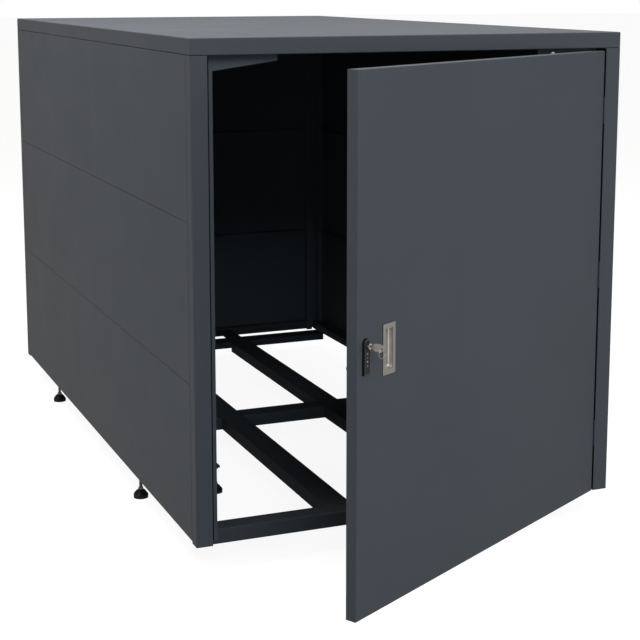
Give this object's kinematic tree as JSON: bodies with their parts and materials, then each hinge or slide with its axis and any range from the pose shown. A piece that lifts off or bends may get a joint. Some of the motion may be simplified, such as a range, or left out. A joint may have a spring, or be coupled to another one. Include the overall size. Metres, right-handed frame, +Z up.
{
  "type": "bicycle locker",
  "caption": "Lockable steel box for bicycles: tray roof, panelled walls, open base frame with wheel rails, levelling feet, side-hung door ajar with flush pull and combination lock.",
  "frame": {"origin": "on the ground, in the middle of the bounding box that the locker fills with its door ajar", "axes": "+Z up, +Y from the doorway towards the back wall, +X towards the hinge side of the doorway"},
  "size_m": [1.2, 2.734, 1.35],
  "materials": {
    "powder_coat": "satin anthracite powder coat, fine texture",
    "powder_coat_frame": "satin anthracite powder coat on the base frame",
    "zinc_steel": "bright zinc plate",
    "stainless_steel": "brushed stainless steel",
    "lock_black": "matt black zinc casting",
    "lock_chrome": "polished chrome",
    "lock_nickel": "nickel plate",
    "dial_black": "black moulded dials with pale numbers",
    "key_nickel": "worn nickel silver",
    "foot_black": "black moulded polyamide"
  },
  "bodies": {
    "root": {"roof_panel": "powder_coat", "roof_ribs": "powder_coat", "front_post_left": "powder_coat", "front_post_right": "powder_coat", "rear_post_left": "powder_coat", "rear_post_right": "powder_coat", "header_rail": "powder_coat_frame", "rear_base_rail": "powder_coat_frame", "side_base_rail_left": "powder_coat_frame", "side_base_rail_right": "powder_coat_frame", "gusset_left": "powder_coat", "gusset_right": "powder_coat", "gusset_bolt": "zinc_steel", "left_panel_lower": "powder_coat", "left_panel_middle": "powder_coat", "left_panel_upper": "powder_coat", "right_panel_lower": "powder_coat", "right_panel_middle": "powder_coat", "right_panel_upper": "powder_coat", "back_panel_lower": "powder_coat", "back_panel_middle": "powder_coat", "back_panel_upper": "powder_coat", "front_sill": "powder_coat_frame", "wheel_rail_left": "powder_coat_frame", "wheel_rail_right": "powder_coat_frame", "cross_mid": "powder_coat_frame", "cross_rear": "powder_coat_frame", "frame_tabs": "powder_coat_frame", "foot_arms": "powder_coat_frame", "foot_lock_nuts": "zinc_steel", "hinge_frame_leaves": "powder_coat", "hinge_pins": "powder_coat"},
    "door": {"door_panel": "powder_coat", "door_stiffeners": "powder_coat", "hinge_door_leaves": "powder_coat", "handle_shell": "stainless_steel", "lock_body": "lock_black", "lock_nut": "zinc_steel", "lock_collar": "lock_chrome"},
    "cylinder": {"lock_plug": "lock_nickel", "lock_cam": "zinc_steel"},
    "key": {"key": "key_nickel"},
    "ring": {"key_ring": "key_nickel"},
    "dial_1": {"dial_1": "dial_black"},
    "dial_2": {"dial_2": "dial_black"},
    "dial_3": {"dial_3": "dial_black"},
    "dial_4": {"dial_4": "dial_black"},
    "foot_front_left": {"foot_front_left_pad": "foot_black", "foot_front_left_stem": "zinc_steel"},
    "foot_front_right": {"foot_front_right_pad": "foot_black", "foot_front_right_stem": "zinc_steel"},
    "foot_back_left": {"foot_back_left_pad": "foot_black", "foot_back_left_stem": "zinc_steel"},
    "foot_back_right": {"foot_back_right_pad": "foot_black", "foot_back_right_stem": "zinc_steel"},
    "foot_inner_left": {"foot_inner_left_pad": "foot_black", "foot_inner_left_stem": "zinc_steel"},
    "foot_inner_right": {"foot_inner_right_pad": "foot_black", "foot_inner_right_stem": "zinc_steel"}
  },
  "joints": [
    {"name": "door_hinge", "type": "hinge", "parent": "root", "child": "door", "pos_m": [0.5545, -0.78646, 0.694], "axis": [0, 0, 1], "range_deg": [-30.05, 79.95]},
    {"name": "lock_turn", "type": "hinge", "parent": "door", "child": "cylinder", "pos_m": [-0.37992, -1.323, 0.7055], "axis": [-0.5008, 0.8656, 0], "range_deg": [0, 90]},
    {"name": "key_slide", "type": "slide", "parent": "cylinder", "child": "key", "axis": [0.5008, -0.8656, 0], "range_m": [0, 0.025]},
    {"name": "key_ring_swing", "type": "hinge", "parent": "key", "child": "ring", "pos_m": [-0.35789, -1.36108, 0.7044], "axis": [0.8656, 0.5008, 0], "range_deg": [-60, 60]},
    {"name": "dial_1_turn", "type": "hinge", "parent": "door", "child": "dial_1", "pos_m": [-0.38038, -1.32222, 0.6611], "axis": [0, 0, 1], "continuous": true},
    {"name": "dial_2_turn", "type": "hinge", "parent": "door", "child": "dial_2", "pos_m": [-0.38038, -1.32222, 0.6702], "axis": [0, 0, 1], "continuous": true},
    {"name": "dial_3_turn", "type": "hinge", "parent": "door", "child": "dial_3", "pos_m": [-0.38038, -1.32222, 0.6793], "axis": [0, 0, 1], "continuous": true},
    {"name": "dial_4_turn", "type": "hinge", "parent": "door", "child": "dial_4", "pos_m": [-0.38038, -1.32222, 0.6884], "axis": [0, 0, 1], "continuous": true},
    {"name": "foot_front_left_turn", "type": "hinge", "parent": "root", "child": "foot_front_left", "pos_m": [-0.57, -0.14296, 0], "axis": [0, 0, 1], "continuous": true},
    {"name": "foot_front_right_turn", "type": "hinge", "parent": "root", "child": "foot_front_right", "pos_m": [0.57, -0.14296, 0], "axis": [0, 0, 1], "continuous": true},
    {"name": "foot_back_left_turn", "type": "hinge", "parent": "root", "child": "foot_back_left", "pos_m": [-0.57, 0.95104, 0], "axis": [0, 0, 1], "continuous": true},
    {"name": "foot_back_right_turn", "type": "hinge", "parent": "root", "child": "foot_back_right", "pos_m": [0.57, 0.95104, 0], "axis": [0, 0, 1], "continuous": true},
    {"name": "foot_inner_left_turn", "type": "hinge", "parent": "root", "child": "foot_inner_left", "pos_m": [-0.356, -0.18296, 0], "axis": [0, 0, 1], "continuous": true},
    {"name": "foot_inner_right_turn", "type": "hinge", "parent": "root", "child": "foot_inner_right", "pos_m": [0.356, -0.18296, 0], "axis": [0, 0, 1], "continuous": true}
  ]
}
